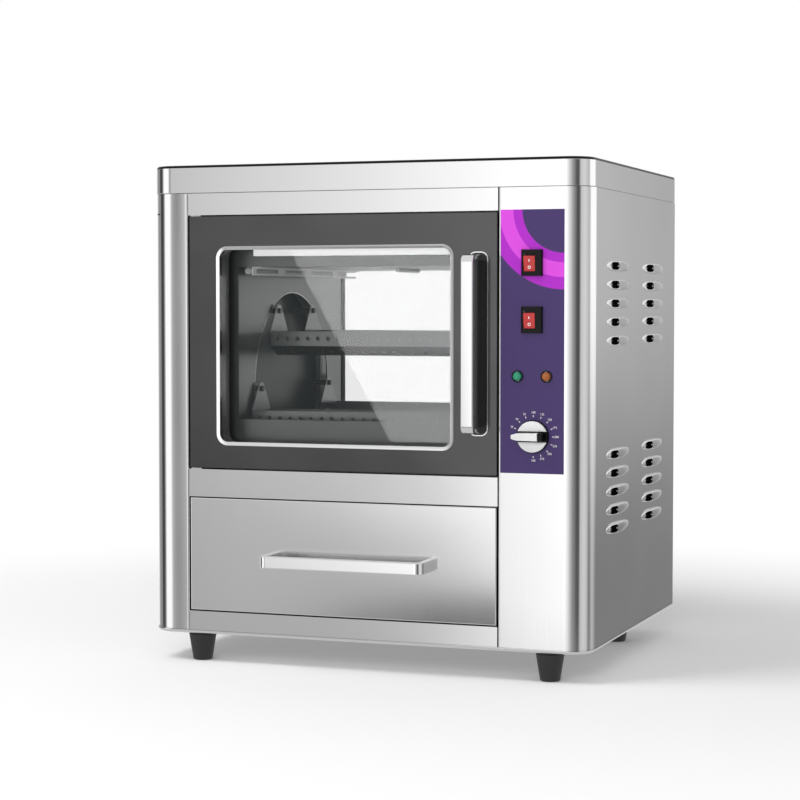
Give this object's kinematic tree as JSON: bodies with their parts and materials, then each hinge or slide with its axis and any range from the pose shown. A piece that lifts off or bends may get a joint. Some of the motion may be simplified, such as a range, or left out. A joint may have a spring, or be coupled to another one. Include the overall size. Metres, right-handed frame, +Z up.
{
  "type": "rotary baked potato oven",
  "caption": "Countertop baked potato oven: a stainless cabinet with a glazed side-hinged door, a turning carousel of hanging trays, a warming drawer and a control column.",
  "frame": {"origin": "middle of the base of the whole oven, on the surface it stands on", "axes": "+X to the oven's right seen from the front, +Y from the front to the back, +Z up"},
  "size_m": [0.6504, 0.548, 0.7],
  "materials": {
    "body_steel": "satin stainless steel of the outer cabinet",
    "cover_steel": "satin stainless steel of the top cover",
    "inner_steel": "bright stainless steel inside the cavity",
    "black_enamel": "glossy dark grey enamel of the door front",
    "clear_glass": "clear toughened glass",
    "polished_steel": "polished stainless steel of the handles",
    "seal_rubber": "black silicone rubber",
    "foot_rubber": "black moulded rubber",
    "panel_film": "dark purple printed film with magenta bands",
    "switch_black": "black nylon",
    "switch_red": "red translucent rocker",
    "green_lens": "green lamp lens",
    "amber_lens": "amber lamp lens",
    "knob_plastic": "white and silver knob",
    "dark_metal": "dark painted metal",
    "heater_sheath": "oxidised heating element sheath",
    "quartz": "quartz tube",
    "bush_brass": "brass bush",
    "zinc_steel": "zinc plated steel",
    "lamp_diffuser": "white lamp diffuser",
    "terminal_plastic": "pale terminal plastic"
  },
  "bodies": {
    "root": {"top_cover": "cover_steel", "base_pan": "body_steel", "left_side_panel": "body_steel", "right_side_panel": "body_steel", "top_rail": "body_steel", "mid_rail": "body_steel", "bottom_rail": "body_steel", "left_partition": "inner_steel", "right_partition": "inner_steel", "cavity_front_frame": "inner_steel", "interior_lamp": "lamp_diffuser", "cavity_left_wall": "inner_steel", "cavity_right_wall": "inner_steel", "cavity_ceiling": "inner_steel", "cavity_floor": "inner_steel", "rear_frame": "inner_steel", "rear_glass": "clear_glass", "rear_panel": "body_steel", "rear_panel_screws": "zinc_steel", "foot_front_left": "foot_rubber", "foot_front_right": "foot_rubber", "foot_rear_left": "foot_rubber", "foot_rear_right": "foot_rubber", "control_decal": "panel_film", "switch_housings": "switch_black", "power_lamp": "green_lens", "heating_lamp": "amber_lens", "lamp_bezels": "polished_steel", "thermostat_body": "terminal_plastic", "quartz_tubes": "quartz", "heater_guards": "inner_steel", "lower_heating_element": "heater_sheath", "sensor_bulb": "zinc_steel", "wheel_bushes": "bush_brass", "gear_motor": "dark_metal", "motor_bracket": "zinc_steel", "hinge_brackets": "zinc_steel", "door_catch": "switch_black", "drawer_runners": "zinc_steel", "terminal_block": "terminal_plastic", "cable_bush": "seal_rubber"},
    "door": {"door_panel": "black_enamel", "door_frame": "black_enamel", "window_glass": "clear_glass", "door_gasket": "seal_rubber", "door_handle": "polished_steel"},
    "drawer": {"drawer_front": "body_steel", "drawer_box": "inner_steel", "drawer_handle": "polished_steel"},
    "rocker_upper": {"rocker_upper": "switch_red"},
    "rocker_lower": {"rocker_lower": "switch_red"},
    "knob": {"thermostat_knob": "knob_plastic"},
    "carousel": {"wheel_left": "inner_steel", "wheel_right": "inner_steel"},
    "tray_1": {"tray_1": "inner_steel"},
    "tray_2": {"tray_2": "inner_steel"},
    "tray_3": {"tray_3": "inner_steel"},
    "tray_4": {"tray_4": "inner_steel"},
    "tray_5": {"tray_5": "inner_steel"},
    "tray_6": {"tray_6": "inner_steel"}
  },
  "joints": [
    {"name": "door_hinge", "type": "hinge", "parent": "root", "child": "door", "pos_m": [-0.25625, -0.23, 0.45], "axis": [0, 0, -1], "range_deg": [0, 110]},
    {"name": "drawer_slide", "type": "slide", "parent": "root", "child": "drawer", "axis": [0, -1, 0], "range_m": [0, 0.36]},
    {"name": "upper_switch", "type": "hinge", "parent": "root", "child": "rocker_upper", "pos_m": [0.23755, -0.229, 0.56], "axis": [-1, 0, 0], "range_deg": [0, 18]},
    {"name": "lower_switch", "type": "hinge", "parent": "root", "child": "rocker_lower", "pos_m": [0.23755, -0.229, 0.4844], "axis": [-1, 0, 0], "range_deg": [0, 18]},
    {"name": "thermostat_turn", "type": "hinge", "parent": "root", "child": "knob", "pos_m": [0.24275, -0.242, 0.3295], "axis": [0, 1, 0], "range_deg": [0, 270]},
    {"name": "carousel_spin", "type": "hinge", "parent": "root", "child": "carousel", "pos_m": [-0.02325, 0.012, 0.383], "axis": [1, 0, 0], "continuous": true},
    {"name": "tray_1_swing", "type": "hinge", "parent": "carousel", "child": "tray_1", "pos_m": [-0.02325, 0.142, 0.383], "axis": [1, 0, 0], "continuous": true},
    {"name": "tray_2_swing", "type": "hinge", "parent": "carousel", "child": "tray_2", "pos_m": [-0.02325, 0.077, 0.49558], "axis": [1, 0, 0], "continuous": true},
    {"name": "tray_3_swing", "type": "hinge", "parent": "carousel", "child": "tray_3", "pos_m": [-0.02325, -0.053, 0.49558], "axis": [1, 0, 0], "continuous": true},
    {"name": "tray_4_swing", "type": "hinge", "parent": "carousel", "child": "tray_4", "pos_m": [-0.02325, -0.118, 0.383], "axis": [1, 0, 0], "continuous": true},
    {"name": "tray_5_swing", "type": "hinge", "parent": "carousel", "child": "tray_5", "pos_m": [-0.02325, -0.053, 0.27042], "axis": [1, 0, 0], "continuous": true},
    {"name": "tray_6_swing", "type": "hinge", "parent": "carousel", "child": "tray_6", "pos_m": [-0.02325, 0.077, 0.27042], "axis": [1, 0, 0], "continuous": true}
  ],
  "couplings": [
    {"joint": "tray_1_swing", "follows": "carousel_spin", "ratio": -1},
    {"joint": "tray_2_swing", "follows": "carousel_spin", "ratio": -1},
    {"joint": "tray_3_swing", "follows": "carousel_spin", "ratio": -1},
    {"joint": "tray_4_swing", "follows": "carousel_spin", "ratio": -1},
    {"joint": "tray_5_swing", "follows": "carousel_spin", "ratio": -1},
    {"joint": "tray_6_swing", "follows": "carousel_spin", "ratio": -1}
  ]
}
